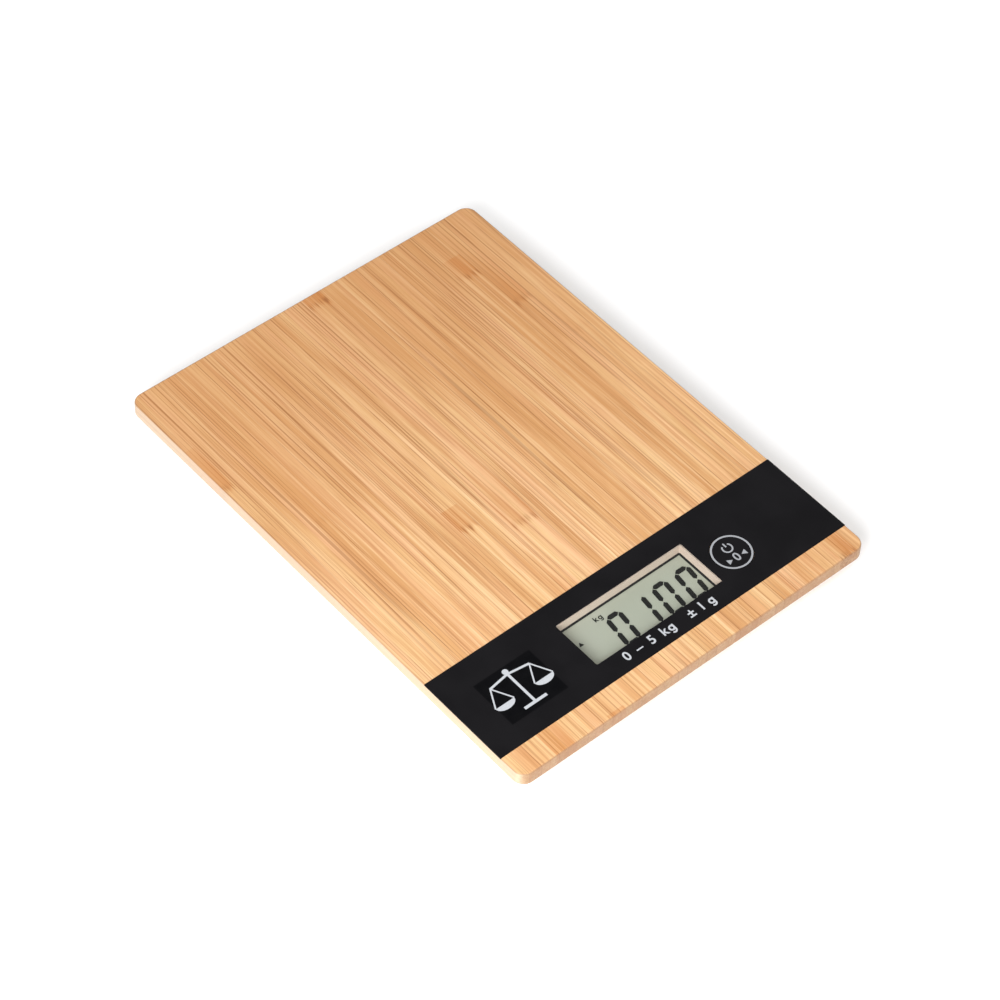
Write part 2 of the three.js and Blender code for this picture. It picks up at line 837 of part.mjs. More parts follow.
for (const [name, x, y] of pcbScrews) {
  const length = pcbThickness + pcbScrewBite;
  const screw = makeScrew(pcbScrewShank, pcbScrewHead, pcbScrewHeadHeight, length);
  const shape = remove(screw, makeCrossSlot(pcbScrewHead, pcbScrewHeadHeight / 2)).rotate([180, 0, 0]);
  addPiece(`board_screw_${name}`, shape, zincSteel, [x, y, pcbTop + bond + pcbScrewHeadHeight]);
}

// ---------------------------------------------------------------- wires
// Each load cell's lead lies along the housing floor and ends on the back strip of the
// circuit board.
const solderY = stripY + lcdDepth / 2 + pcbBackStrip / 2;
const solderZ = pcbTop + cellLeadRadius + bond;
const leadFloor = floorTop + cellLeadRadius + wireLift;

function makeRearLead(sx) {
  const cellZ = cellTop + cellLeadRadius + fit;
  const startX = sx * footX;
  const startY = footY - bracketRadius + bracketWall / 2;
  const laneX = sx * (footX - leadLaneInset);
  const padX = sx * rearLeadPadX;
  const clearY = pcbBack + leadStraight + leadSwing;
  return wire(cellLeadRadius, [
    [startX, startY, cellZ],
    [startX, startY - leadStraight, cellZ],
    [laneX, startY - leadStraight - leadTurn, leadFloor],
    [laneX, clearY + 2 * leadTurn, leadFloor],
    [laneX - sx * leadSwing, clearY + leadTurn, leadFloor],
    [padX, clearY, solderZ + leadRise],
    [padX, solderY, solderZ],
  ]);
}

function makeFrontLead(sx) {
  const cellZ = cellTop + cellLeadRadius + fit;
  const startX = sx * footX;
  const startY = -(footY - bracketRadius + bracketWall / 2);
  const laneX = sx * (footX - leadSpread);
  const padX = sx * frontLeadPadX;
  const clearY = pcbBack + leadStraight;
  return wire(cellLeadRadius, [
    [startX, startY, cellZ],
    [startX, startY + leadStraight, cellZ],
    [laneX, clearY + leadStraight / 2, (cellZ + solderZ) / 2],
    [padX, clearY, solderZ + leadRise],
    [padX, solderY, solderZ],
  ]);
}

for (const [name, sx, sy] of corners) {
  addPiece(`load_cell_lead_${name}`, sy > 0 ? makeRearLead(sx) : makeFrontLead(sx), wireJacket);
}

// The battery leads run from the contact tails to the circuit board.
function makeBatteryLead(side) {
  const x = side * contactOffset;
  const tailY = hatchFront - wellWall - contactTail - batteryLeadRadius;
  const laneX = side * (bossRadius + batteryLeadGap);
  const low = floorTop + batteryLeadRadius + wireLift;
  return wire(batteryLeadRadius, [
    [x, tailY, contactBottom],
    [x, tailY - leadStraight, contactBottom - leadRise],
    [laneX, tailY - leadStraight - leadTurn, low],
    [laneX, pcbBack + leadTurn, low],
    [laneX, pcbBack + leadStraight / 2, solderZ + leadRise],
    [laneX, solderY, solderZ],
  ]);
}

addPiece('battery_lead_positive', makeBatteryLead(1), wireJacket);
addPiece('battery_lead_negative', makeBatteryLead(-1), blackPlastic);

export default scale;
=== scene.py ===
"""Looks for the bamboo kitchen scale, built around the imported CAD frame.

Metres, in the CAD frame: +Z up, the display side faces -Y, the floor is z = 0.
"""
import json
import math

import bmesh
import bpy
from mathutils import Matrix, Vector


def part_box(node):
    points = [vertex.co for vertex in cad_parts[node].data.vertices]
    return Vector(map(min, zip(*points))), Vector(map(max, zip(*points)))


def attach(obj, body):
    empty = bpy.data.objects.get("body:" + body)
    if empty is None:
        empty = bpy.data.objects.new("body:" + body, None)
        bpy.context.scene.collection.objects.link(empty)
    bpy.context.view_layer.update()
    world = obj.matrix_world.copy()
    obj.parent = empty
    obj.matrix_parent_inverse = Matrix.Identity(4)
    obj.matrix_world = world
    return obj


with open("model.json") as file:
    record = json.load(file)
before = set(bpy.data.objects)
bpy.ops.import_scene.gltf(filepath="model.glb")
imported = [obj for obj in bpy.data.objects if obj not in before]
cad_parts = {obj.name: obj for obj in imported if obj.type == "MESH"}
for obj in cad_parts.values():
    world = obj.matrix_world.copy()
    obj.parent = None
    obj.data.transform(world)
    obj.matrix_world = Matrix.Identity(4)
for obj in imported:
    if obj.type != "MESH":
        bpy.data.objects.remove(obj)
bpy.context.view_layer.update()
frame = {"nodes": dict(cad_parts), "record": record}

MM = 0.001
scene = bpy.context.scene

# ------------------------------------------------------------------ places from the frame
board_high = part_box("bamboo_board")[1]
strip_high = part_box("display_strip")[1]
bezel_low, bezel_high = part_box("display_bezel")
lcd_low, lcd_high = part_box("lcd_panel")
button_low, button_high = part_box("tare_button")
cover_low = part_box("battery_cover")[0]
cell_low, cell_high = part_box("coin_cell")
strip_y = (lcd_low.y + lcd_high.y) / 2
button_x = (button_low.x + button_high.x) / 2
button_y = (button_low.y + button_high.y) / 2
button_radius = (button_high.x - button_low.x) / 2


# ------------------------------------------------------------------ camera, light and sky
VIEW_AZIMUTH = -42.925
VIEW_ELEVATION = 49.618
VIEW_ROLL = 2.989
VIEW_DISTANCE = 1.2397
VIEW_LENS_MM = 119.1
VIEW_SENSOR_MM = 36
VIEW_TARGET = Vector((-0.00745, -0.01268, board_high.z))
CLIP_NEAR = 0.01
CLIP_FAR = 20

KEY_PLACE = (-0.60, -0.42, 0.55)
KEY_AIM = (0, 0, 0)
KEY_SIZE = 0.42
KEY_POWER = 7.3

# the sky's strength, the flag's, and the angles in degrees where the flag starts and stops fading
SKY_LEVEL = 1.27
FLAG_LEVEL = 0.22
FLAG_INNER = 20
FLAG_OUTER = 52


def way(azimuth, elevation):
    """The unit vector toward that azimuth, from the front, and elevation, in degrees."""
    azimuth, elevation = math.radians(azimuth), math.radians(elevation)
    return Vector((
        math.sin(azimuth) * math.cos(elevation),
        -math.cos(azimuth) * math.cos(elevation),
        math.sin(elevation),
    ))


def make_camera():
    """The photograph's viewing angle."""
    back = way(VIEW_AZIMUTH, VIEW_ELEVATION)
    right = (-back).cross(Vector((0, 0, 1))).normalized()
    up = right.cross(-back)
    turn = Matrix.Rotation(math.radians(VIEW_ROLL), 3, back)
    axes = Matrix((turn @ right, turn @ up, back)).transposed()
    data = bpy.data.cameras.new("camera")
    data.lens = VIEW_LENS_MM
    data.sensor_width = VIEW_SENSOR_MM
    data.clip_start = CLIP_NEAR
    data.clip_end = CLIP_FAR
    camera = bpy.data.objects.new("camera", data)
    camera.matrix_world = Matrix.Translation(VIEW_TARGET + back * VIEW_DISTANCE) @ axes.to_4x4()
    scene.collection.objects.link(camera)
    scene.camera = camera


def make_key_light():
    """A large soft light over the front left corner."""
    data = bpy.data.lights.new("key_light", "AREA")
    data.shape = "DISK"
    data.size = KEY_SIZE
    data.energy = KEY_POWER
    light = bpy.data.objects.new("key_light", data)
    light.location = KEY_PLACE
    light.rotation_mode = "QUATERNION"
    light.rotation_quaternion = (Vector(KEY_AIM) - Vector(KEY_PLACE)).to_track_quat("-Z", "Y")
    scene.collection.objects.link(light)


def make_world():
    """A white studio sky, with a dark flag where the flat top would mirror it to the camera."""
    world = bpy.data.worlds.new("studio")
    scene.world = world
    world.use_nodes = True
    nodes, links = world.node_tree.nodes, world.node_tree.links
    sky_way = nodes.new("ShaderNodeTexCoord")
    nearness = nodes.new("ShaderNodeVectorMath")
    nearness.operation = "DOT_PRODUCT"
    nearness.inputs[1].default_value = way(VIEW_AZIMUTH + 180, VIEW_ELEVATION)
    links.new(sky_way.outputs["Generated"], nearness.inputs[0])
    level = nodes.new("ShaderNodeMapRange")
    level.interpolation_type = "SMOOTHSTEP"
    level.inputs["From Min"].default_value = math.cos(math.radians(FLAG_OUTER))
    level.inputs["From Max"].default_value = math.cos(math.radians(FLAG_INNER))
    level.inputs["To Min"].default_value = SKY_LEVEL
    level.inputs["To Max"].default_value = FLAG_LEVEL
    links.new(nearness.outputs["Value"], level.inputs["Value"])
    background = nodes["Background"]
    background.inputs["Color"].default_value = (1, 1, 1, 1)
    links.new(level.outputs[0], background.inputs["Strength"])


make_camera()
make_world()
make_key_light()
scene.view_settings.view_transform = "Standard"


# ------------------------------------------------------------------ node-graph helper
class Graph:
    """A material's node tree, with short calls for the nodes used here."""

    def __init__(self, name):
        self.material = bpy.data.materials.new(name)
        self.material.use_nodes = True
        self.tree = self.material.node_tree
        self.shader = self.tree.nodes["Principled BSDF"]

    def node(self, kind, **settings):
        """Add a node."""
        made = self.tree.nodes.new(kind)
        for key, value in settings.items():
            setattr(made, key, value)
        return made

    def put(self, socket, value):
        """Link a socket to the value, or set it, with an alpha of 1 added to a bare colour."""
        if isinstance(value, bpy.types.NodeSocket):
            self.tree.links.new(value, socket)
        elif hasattr(value, "__len__") and len(value) == 3 and len(socket.default_value) == 4:
            socket.default_value = (*value, 1)
        else:
            socket.default_value = value

    def math(self, operation, a, b=0.0):
        made = self.node("ShaderNodeMath", operation=operation)
        self.put(made.inputs[0], a)
        self.put(made.inputs[1], b)
        return made.outputs[0]

    def product(self, first, *others):
        """All the values multiplied."""
        for other in others:
            first = self.math("MULTIPLY", first, other)
        return first

    def mix(self, factor, a, b):
        made = self.node("ShaderNodeMix", data_type="RGBA")
        self.put(made.inputs[0], factor)
        self.put(made.inputs[6], a)
        self.put(made.inputs[7], b)
        return made.outputs[2]

    def mapped(self, value, low, high, to_low=0.0, to_high=1.0, smooth=True):
        """A value from low to high, as to_low to to_high, and held at the ends."""
        kind = "SMOOTHSTEP" if smooth else "LINEAR"
        made = self.node("ShaderNodeMapRange", interpolation_type=kind)
        for socket, number in zip(made.inputs, (value, low, high, to_low, to_high)):
            self.put(socket, number)
        return made.outputs[0]

    def spread(self, noise, to_low=0.0, to_high=1.0):
        """The range that most of a noise falls in, as to_low to to_high."""
        return self.mapped(noise, 0.3, 0.7, to_low, to_high)

    def point(self):
        """The shaded point in the object's frame, in metres."""
        return self.node("ShaderNodeTexCoord").outputs["Object"]

    def axes(self, vector):
        made = self.node("ShaderNodeSeparateXYZ")
        self.put(made.inputs[0], vector)
        return made.outputs

    def channels(self, colour):
        made = self.node("ShaderNodeSeparateColor")
        self.put(made.inputs[0], colour)
        return made.outputs

    def vector(self, x, y, z):
        made = self.node("ShaderNodeCombineXYZ")
        for socket, number in zip(made.inputs, (x, y, z)):
            self.put(socket, number)
        return made.outputs[0]

    def scaled(self, vector, x, y, z):
        made = self.node("ShaderNodeVectorMath", operation="MULTIPLY")
        self.put(made.inputs[0], vector)
        self.put(made.inputs[1], (x, y, z))
        return made.outputs[0]

    def noise(self, vector, scale, detail=2.0, roughness=0.5):
        """Noise with that many features per metre."""
        made = self.node("ShaderNodeTexNoise")
        self.put(made.inputs["Vector"], vector)
        self.put(made.inputs["Scale"], scale)
        self.put(made.inputs["Detail"], detail)
        self.put(made.inputs["Roughness"], roughness)
        return made.outputs["Fac"]

    def cells(self, position, feature="F1", randomness=1.0):
        """Cells of random length along a line, of about 1 each."""
        made = self.node("ShaderNodeTexVoronoi", voronoi_dimensions="1D", feature=feature)
        self.put(made.inputs["W"], position)
        self.put(made.inputs["Scale"], 1.0)
        self.put(made.inputs["Randomness"], randomness)
        return made

    def bump(self, height, distance, strength):
        made = self.node("ShaderNodeBump")
        self.put(made.inputs["Strength"], strength)
        self.put(made.inputs["Distance"], distance)
        self.put(made.inputs["Height"], height)
        self.put(self.shader.inputs["Normal"], made.outputs[0])

    def set(self, **values):
        """Set inputs of the shader, with _ for each space in their names."""
        for key, value in values.items():
            self.put(self.shader.inputs[key.replace("_", " ")], value)


def srgb(red, green, blue):
    """A colour read as 0 to 255 sRGB, as linear light."""
    def linear(value):
        value /= 255
        return value / 12.92 if value <= 0.04045 else ((value + 0.055) / 1.055) ** 2.4
    return linear(red), linear(green), linear(blue)


# ------------------------------------------------------------------ bamboo
STRIP_WIDTH = 4.2 * MM
CANE_WIDTH = 8.8 * MM
KNUCKLE_SPACING = 85 * MM
# from this y toward the back, the grain lines grow stronger and the painted shade deepens
BACK_DARKENING_FROM_Y = -60 * MM

# strips and canes slide along Y by these multiples of their random value
STRIP_SLIDE = 4.0
CANE_SLIDE = 37.0

# in knuckle spacings: how far a knuckle strays, how ragged its edge is, and how far its smear reaches
KNUCKLE_STRAY = 0.9
KNUCKLE_RAGGED = 0.16
KNUCKLE_REACH = 0.42

# each noise: features per metre across, along and through the board, its detail and its roughness
BAMBOO_NOISES = {
    "drift": ((60, 12, 60), 1.0, 0.5),
    "bands": ((420, 8, 320), 3.0, 0.6),
    "streaks": ((1150, 15, 1150), 3.0, 0.65),
    "fibres": ((3200, 70, 3200), 2.0, 0.6),
    "warmth": ((130, 16, 60), 2.0, 0.5),
    "pencil": ((1700, 7, 1700), 1.0, 0.5),
}
BAMBOO_BASE = ((218, 179, 129), (216, 169, 126))

# each tone: what steers it, from which value to which, how much of it at the two, and its colour
BAMBOO_TONES = (
    ("strip", 0.1, 0.9, 0.0, 0.5, (203, 154, 103)),
    ("cane", 0.50, 0.95, 0.0, 0.5, (194, 139, 86)),
    ("drift", 0.45, 0.68, 0.0, 0.65, (193, 142, 90)),
    ("bands", 0.30, 0.50, 0.45, 0.0, (232, 197, 150)),
    ("bands", 0.50, 0.70, 0.0, 0.55, (184, 130, 82)),
    ("streaks", 0.50, 0.70, 0.0, 0.50, (166, 110, 64)),
    ("streaks", 0.30, 0.45, 0.40, 0.0, (237, 205, 162)),
    ("fibres", 0.50, 0.72, 0.0, 0.25, (158, 106, 64)),
)


def lines_and_painted_shade_toward_back(g, shade, y, pencil):
    """Thin dark grain lines that grow stronger toward the back, and painted shade: a browner tone that
    deepens toward the back, where the light falls off.
    """
    toward_back = g.mapped(y, BACK_DARKENING_FROM_Y, board_high.y)
    strength = g.mapped(toward_back, 0.0, 1.0, 0.35, 0.85, smooth=False)
    shade = g.mix(g.mapped(pencil, 0.57, 0.68, 0.0, strength), shade, srgb(138, 88, 50))
    # painted shade: the browner tone toward the back stands in for the light falling off there
    return g.mix(g.math("MULTIPLY", toward_back, 0.48), shade, srgb(182, 128, 78))


def glue_lines(g, point, edge):
    """How much glue line shows: each one is plain in some places and lost in others."""
    fade = g.noise(g.scaled(point, 260, 24, 0), 1.0)
    return g.product(g.mapped(edge, 0.015, 0.06, 1.0, 0.0), g.mapped(fade, 0.42, 0.60, 0.0, 0.8))


def with_knuckles(g, shade, y, cane_seed, fields):
    """Brown smears across one cane, sharp on one side and fading out on the other."""
    cane = g.math("ADD", g.math("DIVIDE", y, KNUCKLE_SPACING), g.math("MULTIPLY", cane_seed, CANE_SLIDE))
    knuckle = g.cells(cane, randomness=KNUCKLE_STRAY)
    ragged = g.math("MULTIPLY", g.math("SUBTRACT", fields["streaks"], 0.5), KNUCKLE_RAGGED)
    offset = g.math("ADD", g.math("SUBTRACT", cane, knuckle.outputs["W"]), ragged)
    shown = g.mapped(g.channels(knuckle.outputs["Color"])[0], 0.62, 0.74)
    sharp_side = g.mapped(offset, -0.05, -0.01)
    fading_side = g.mapped(offset, 0.02, KNUCKLE_REACH, 1.0, 0.0)
    patchy = g.mapped(fields["bands"], 0.30, 0.6, 0.3, 1.0)
    smear = g.product(sharp_side, fading_side, shown, patchy, 0.52)
    middle = g.mapped(g.math("ABSOLUTE", offset), 0.005, 0.030, 1.0, 0.0)
    core = g.product(middle, shown, g.mapped(fields["streaks"], 0.45, 0.6), 0.55)
    shade = g.mix(smear, shade, srgb(178, 108, 48))
    return g.mix(core, shade, srgb(124, 74, 38))


def sides_with_painted_light_and_shade(g, shade):
    """The sides are paler than the top and the cut ends darker and greyer: partly the cut bamboo's own
    colour, partly painted light on the sides and painted shade on the ends. The eased edges are browner.
    """
    normal = g.axes(g.node("ShaderNodeTexCoord").outputs["Normal"])
    upright = g.math("ABSOLUTE", normal[2])
    side = g.mapped(upright, 0.5, 0.95, 0.68, 0.0)
    end = g.mapped(g.math("ABSOLUTE", normal[1]), 0.4, 0.9)
    # partly painted light: paler sides; partly painted shade: darker, greyer cut ends
    shade = g.mix(side, shade, g.mix(end, srgb(192, 176, 156), srgb(136, 107, 84)))
    eased = g.product(g.mapped(upright, 0.30, 0.60), g.mapped(upright, 0.90, 0.985, 1.0, 0.0), 0.5)
    return g.mix(eased, shade, srgb(128, 92, 62))


def bamboo_material():
    """Narrow bamboo strips glued side by side along Y, with fibres, glue lines and brown knuckles."""
    g = Graph("bamboo")
    point = g.point()
    x, y, z = g.axes(point)
    strip_place = g.math("DIVIDE", x, STRIP_WIDTH)
    strip = g.channels(g.cells(strip_place).outputs["Color"])
    edge = g.cells(strip_place, "DISTANCE_TO_EDGE").outputs["Distance"]
    cane = g.channels(g.cells(g.math("DIVIDE", x, CANE_WIDTH)).outputs["Color"])
    fields = {"strip": strip[0], "cane": cane[0]}

    # every strip slides its own way along Y, so that no fibre runs across a glue line
    along = g.math("ADD", y, g.math("MULTIPLY", strip[1], STRIP_SLIDE))
    slid = g.vector(x, along, z)
    for name, (stretch, detail, roughness) in BAMBOO_NOISES.items():
        fields[name] = g.noise(g.scaled(slid, *stretch), 1.0, detail, roughness)

    light, dark = BAMBOO_BASE
    shade = g.mix(g.mapped(fields["warmth"], 0.35, 0.65), srgb(*light), srgb(*dark))
    for steer, start, stop, at_start, at_stop, colour in BAMBOO_TONES:
        shade = g.mix(g.mapped(fields[steer], start, stop, at_start, at_stop), shade, srgb(*colour))
    # grain lines, and painted shade that deepens toward the back
    shade = lines_and_painted_shade_toward_back(g, shade, y, fields["pencil"])
    glue = glue_lines(g, point, edge)
    shade = g.mix(glue, shade, srgb(150, 98, 56))
    shade = with_knuckles(g, shade, y, cane[1], fields)
    # paler sides and darker ends, partly painted light and shade
    shade = sides_with_painted_light_and_shade(g, shade)

    height = g.math("SUBTRACT", g.math("MULTIPLY", fields["streaks"], 0.6), g.math("MULTIPLY", glue, 0.8))
    height = g.math("ADD", height, g.math("MULTIPLY", fields["fibres"], 0.3))
    g.bump(height, distance=0.07 * MM, strength=0.6)
    g.set(
        Base_Color=shade,
        Roughness=g.spread(fields["streaks"], 0.46, 0.62),
        Specular_IOR_Level=0.35,
        Coat_Weight=0.1,
        Coat_Roughness=0.35,
    )
    return g.material


# ------------------------------------------------------------------ other materials
def film_material():
    """Semi-matte black film."""
    g = Graph("black_film")
    point = g.point()
    grain = g.noise(point, scale=9000)
    cloud = g.noise(point, scale=60)
    tint = g.mix(g.spread(cloud), srgb(15, 14, 16), srgb(20, 19, 21))
    tint = g.mix(g.mapped(grain, 0.4, 0.75, 0.0, 0.35), tint, srgb(26, 26, 28))
    g.bump(grain, distance=0.02 * MM, strength=0.35)
    g.set(Base_Color=tint, Roughness=g.spread(grain, 0.36, 0.46), Specular_IOR_Level=0.12)
    return g.material


def patch_material():
    """The deeper black printed under the emblem."""
    g = Graph("emblem_patch")
    smoke = g.noise(g.point(), scale=300)
    g.set(
        Base_Color=g.mix(smoke, srgb(4, 4, 6), srgb(7, 7, 9)),
        Roughness=g.spread(smoke, 0.34, 0.42),
        Specular_IOR_Level=0.12,
    )
    return g.material


def print_material(name, bright, dim):
    """Screen-printed ink, a little uneven."""
    g = Graph(name)
    speckle = g.noise(g.point(), scale=5200, detail=3.0)
    g.set(
        Base_Color=g.mix(g.mapped(speckle, 0.35, 0.7), bright, dim),
        Roughness=0.55,
        Specular_IOR_Level=0.3,
    )
    g.bump(speckle, distance=0.01 * MM, strength=0.4)
    return g.material


def moulded_material(name, tint, shadow, rough=(0.42, 0.55), grain_scale=2600):
    """Moulded plastic with a fine spark texture and a faint change of tone."""
    g = Graph(name)
    point = g.point()
    grain = g.noise(point, grain_scale, detail=3.0, roughness=0.6)
    cloud = g.noise(point, scale=35)
    g.bump(grain, distance=0.03 * MM, strength=0.5)
    g.set(
        Base_Color=g.mix(g.spread(cloud), tint, shadow),
        Roughness=g.spread(grain, *rough),
        Specular_IOR_Level=0.45,
    )
    return g.material


def lcd_material():
    """The reflective display: pale grey-green, with a fine grain."""
    g = Graph("lcd_reflector")
    point = g.point()
    grain = g.noise(point, scale=7000, roughness=0.7)
    cloud = g.noise(point, scale=45, detail=1.0)
    tint = g.mix(g.spread(cloud), srgb(172, 175, 162), srgb(166, 170, 156))
    tint = g.mix(g.mapped(grain, 0.45, 0.75, 0.0, 0.3), tint, srgb(152, 157, 143))
    g.set(Base_Color=tint, Roughness=g.spread(grain, 0.4, 0.5), Specular_IOR_Level=0.2)
    return g.material


def segment_material():
    """The dark shape that a driven bar of the display makes."""
    g = Graph("lcd_segment")
    grain = g.noise(g.point(), scale=7000)
    g.set(
        Base_Color=g.mix(grain, srgb(18, 19, 18), srgb(9, 10, 9)),
        Roughness=0.5,
        Specular_IOR_Level=0.2,
    )
    return g.material


HEAD_ON_MIRROR = 0.035


def clear_material():
    """Clear sheet: light passes straight through, with a faint reflection."""
    g = Graph("clear_acrylic")
    links = g.tree.links
    smudge = g.noise(g.point(), scale=40, detail=3.0)
    seen = g.node("ShaderNodeBsdfTransparent")
    g.put(seen.inputs["Color"], (0.985, 0.99, 0.985))
    shine = g.node("ShaderNodeBsdfGlossy")
    g.put(shine.inputs["Color"], (1, 1, 1))
    g.put(shine.inputs["Roughness"], g.mapped(smudge, 0.4, 0.7, 0.03, 0.12))
    facing = g.node("ShaderNodeLayerWeight")
    g.put(facing.inputs["Blend"], 0.5)
    grazing = g.math("POWER", facing.outputs["Facing"], 5.0)
    mirrored = g.math("ADD", g.math("MULTIPLY", grazing, 1 - HEAD_ON_MIRROR), HEAD_ON_MIRROR)
    both = g.node("ShaderNodeMixShader")
    links.new(mirrored, both.inputs[0])
    links.new(seen.outputs[0], both.inputs[1])
    links.new(shine.outputs[0], both.inputs[2])
    links.new(both.outputs[0], g.tree.nodes["Material Output"].inputs["Surface"])
    g.tree.nodes.remove(g.shader)
    return g.material


def rubber_material(name, tint, shadow):
    """Matte rubber or foam, dusty in places."""
    g = Graph(name)
    point = g.point()
    grain = g.noise(point, scale=3200, detail=4.0, roughness=0.7)
    dust = g.noise(point, scale=260, detail=3.0)
    g.bump(grain, distance=0.04 * MM, strength=0.7)
    g.set(
        Base_Color=g.mix(g.mapped(dust, 0.35, 0.7), tint, shadow),
        Roughness=g.spread(grain, 0.72, 0.9),
        Specular_IOR_Level=0.3,
    )
    return g.material


def metal_material(name, tint, stretch, rough=(0.22, 0.42)):
    """Metal with brushed lines: stretch gives how many there are per metre along each axis."""
    g = Graph(name)
    point = g.point()
    lines = g.noise(g.scaled(point, *stretch), 1.0, detail=3.0, roughness=0.6)
    stain = g.noise(point, scale=220)
    stained = [0.8 * part for part in tint]
    g.bump(lines, distance=0.02 * MM, strength=0.4)
    g.set(
        Base_Color=g.mix(g.mapped(stain, 0.35, 0.75, 0.0, 0.5), tint, stained),
        Metallic=1.0,
        Roughness=g.spread(lines, *rough),
    )
    return g.material


TRACK_SCALE = 140


def laminate_material():
    """Green solder mask over copper tracks."""
    g = Graph("solder_mask")
    tracks = g.node("ShaderNodeTexBrick", offset=0.5, squash=1.0)
    g.put(tracks.inputs["Vector"], g.scaled(g.point(), TRACK_SCALE, TRACK_SCALE, TRACK_SCALE))
    g.put(tracks.inputs["Mortar Size"], 0.09)
    g.put(tracks.inputs["Color1"], srgb(20, 84, 44))
    g.put(tracks.inputs["Color2"], srgb(16, 76, 40))
    g.put(tracks.inputs["Mortar"], srgb(52, 128, 70))
    g.set(Base_Color=tracks.outputs["Color"], Roughness=0.3, Coat_Weight=0.3, Coat_Roughness=0.15)
    g.bump(tracks.outputs["Fac"], distance=0.03 * MM, strength=-0.5)
    return g.material


ZEBRA_PITCH = 0.5 * MM


def zebra_material():
    """Silicone strip with black conductive slices."""
    g = Graph("striped_silicone")
    x = g.axes(g.point())[0]
    wave = g.math("SINE", g.math("MULTIPLY", x, 2 * math.pi / ZEBRA_PITCH))
    g.set(
        Base_Color=g.mix(g.mapped(wave, -0.2, 0.2), srgb(36, 36, 40), srgb(196, 150, 160)),
        Roughness=0.7,
    )
    return g.material


def wire_material(name, tint, shadow):
    """Smooth wire insulation."""
    return moulded_material(name, tint, shadow, rough=(0.4, 0.5), grain_scale=3000)


def resin_material(name, tint, shadow):
    """Glossy chip resin, with a coarser grain."""
    return moulded_material(name, tint, shadow, rough=(0.2, 0.32), grain_scale=900)


LOOKS = {
    "bamboo": bamboo_material(),
    "film": film_material(),
    "patch": patch_material(),
    "ink": print_material("pale_ink", srgb(184, 187, 191), srgb(166, 169, 174)),
    "ring_ink": print_material("grey_ink", srgb(158, 160, 164), srgb(140, 142, 147)),
    "ivory": moulded_material("ivory_plastic", srgb(224, 206, 192), srgb(217, 198, 184)),
    "white": moulded_material("white_plastic", srgb(214, 214, 209), srgb(211, 211, 206)),
    "black": moulded_material("black_plastic", srgb(30, 30, 33), srgb(24, 24, 26)),
    "foam": rubber_material("black_foam", srgb(22, 22, 24), srgb(16, 16, 17)),
    "pad": rubber_material("pale_rubber", srgb(198, 198, 194), srgb(192, 192, 188)),
    "lcd": lcd_material(),
    "segment": segment_material(),
    "clear": clear_material(),
    "steel": metal_material("brushed_steel", srgb(196, 198, 201), (300, 4000, 300)),
    "zinc": metal_material("zinc_steel", srgb(204, 200, 188), (900, 900, 900), (0.28, 0.5)),
    "laminate": laminate_material(),
    "resin": resin_material("black_resin", srgb(18, 18, 20), srgb(12, 12, 13)),
    "zebra": zebra_material(),
    "wire_red": wire_material("red_insulation", srgb(178, 40, 34), srgb(160, 32, 28)),
    "wire_black": wire_material("black_insulation", srgb(34, 34, 36), srgb(26, 26, 28)),
}
LOOK_OF_SLOT = {
    "bamboo": "bamboo",
    "black_strip": "film",
    "clear_sheet": "clear",
    "ivory_plastic": "ivory",
    "black_foam": "foam",
    "display_glass": "lcd",
    "grey_rubber": "zebra",
    "green_laminate": "laminate",
    "black_resin": "resin",
    "black_plastic": "black",
    "white_plastic": "white",
    "steel": "steel",
    "zinc_steel": "zinc",
    "pale_rubber": "pad",
    "wire_red": "wire_red",
    "wire_black": "wire_black",
}


# ------------------------------------------------------------------ CAD nodes: finish and shading
WELD_DISTANCE = 0.002 * MM
SHARP_ANGLE = math.radians(50)


def smooth_group():
    """Geometry nodes that weld the faces and shade smooth across edges flatter than SHARP_ANGLE."""
    group = bpy.data.node_groups.new("weld_and_smooth", "GeometryNodeTree")
    group.interface.new_socket("Geometry", in_out="INPUT", socket_type="NodeSocketGeometry")
    group.interface.new_socket("Geometry", in_out="OUTPUT", socket_type="NodeSocketGeometry")
    nodes, links = group.nodes, group.links
    entry, leave = nodes.new("NodeGroupInput"), nodes.new("NodeGroupOutput")
    weld = nodes.new("GeometryNodeMergeByDistance")
    weld.inputs["Distance"].default_value = WELD_DISTANCE
    smooth = nodes.new("GeometryNodeSetShadeSmooth")
    sharpen = nodes.new("GeometryNodeSetShadeSmooth")
    sharpen.domain = "EDGE"
    sharpen.inputs["Shade Smooth"].default_value = False
    edge = nodes.new("GeometryNodeInputMeshEdgeAngle")
    steep = nodes.new("FunctionNodeCompare")
    steep.operation = "GREATER_THAN"
    steep.inputs[1].default_value = SHARP_ANGLE
    links.new(entry.outputs[0], weld.inputs["Geometry"])
    links.new(weld.outputs[0], smooth.inputs["Geometry"])
    links.new(smooth.outputs[0], sharpen.inputs["Geometry"])
    links.new(edge.outputs["Unsigned Angle"], steep.inputs[0])
    links.new(steep.outputs[0], sharpen.inputs["Selection"])
    links.new(sharpen.outputs[0], leave.inputs[0])
    return group


SMOOTH = smooth_group()


def shade_smooth(piece):
    """Smooth shading over the curved faces, with flat faces left flat."""
    piece.modifiers.new("weld_and_smooth", "NODES").node_group = SMOOTH
    weighted = piece.modifiers.new("weighted_normals", "WEIGHTED_NORMAL")
    weighted.keep_sharp = True
    weighted.weight = 100


def finish_piece(piece, look):
    """Give a piece one material, in place of any it had."""
    piece.data.materials.clear()
    piece.data.materials.append(LOOKS[look])


slot_of = {entry["node"]: entry["material_slot"] for entry in frame["record"]["subparts"]}
for name, node in frame["nodes"].items():
    finish_piece(node, LOOK_OF_SLOT[slot_of[name]])
    shade_smooth(node)


# ------------------------------------------------------------------ mesh helpers
def new_piece(name, mesh, look, body):
    """Add a piece that moves with a body of the frame."""
    piece = bpy.data.objects.new(name, mesh)
    scene.collection.objects.link(piece)
    finish_piece(piece, look)
    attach(piece, body)
    return piece


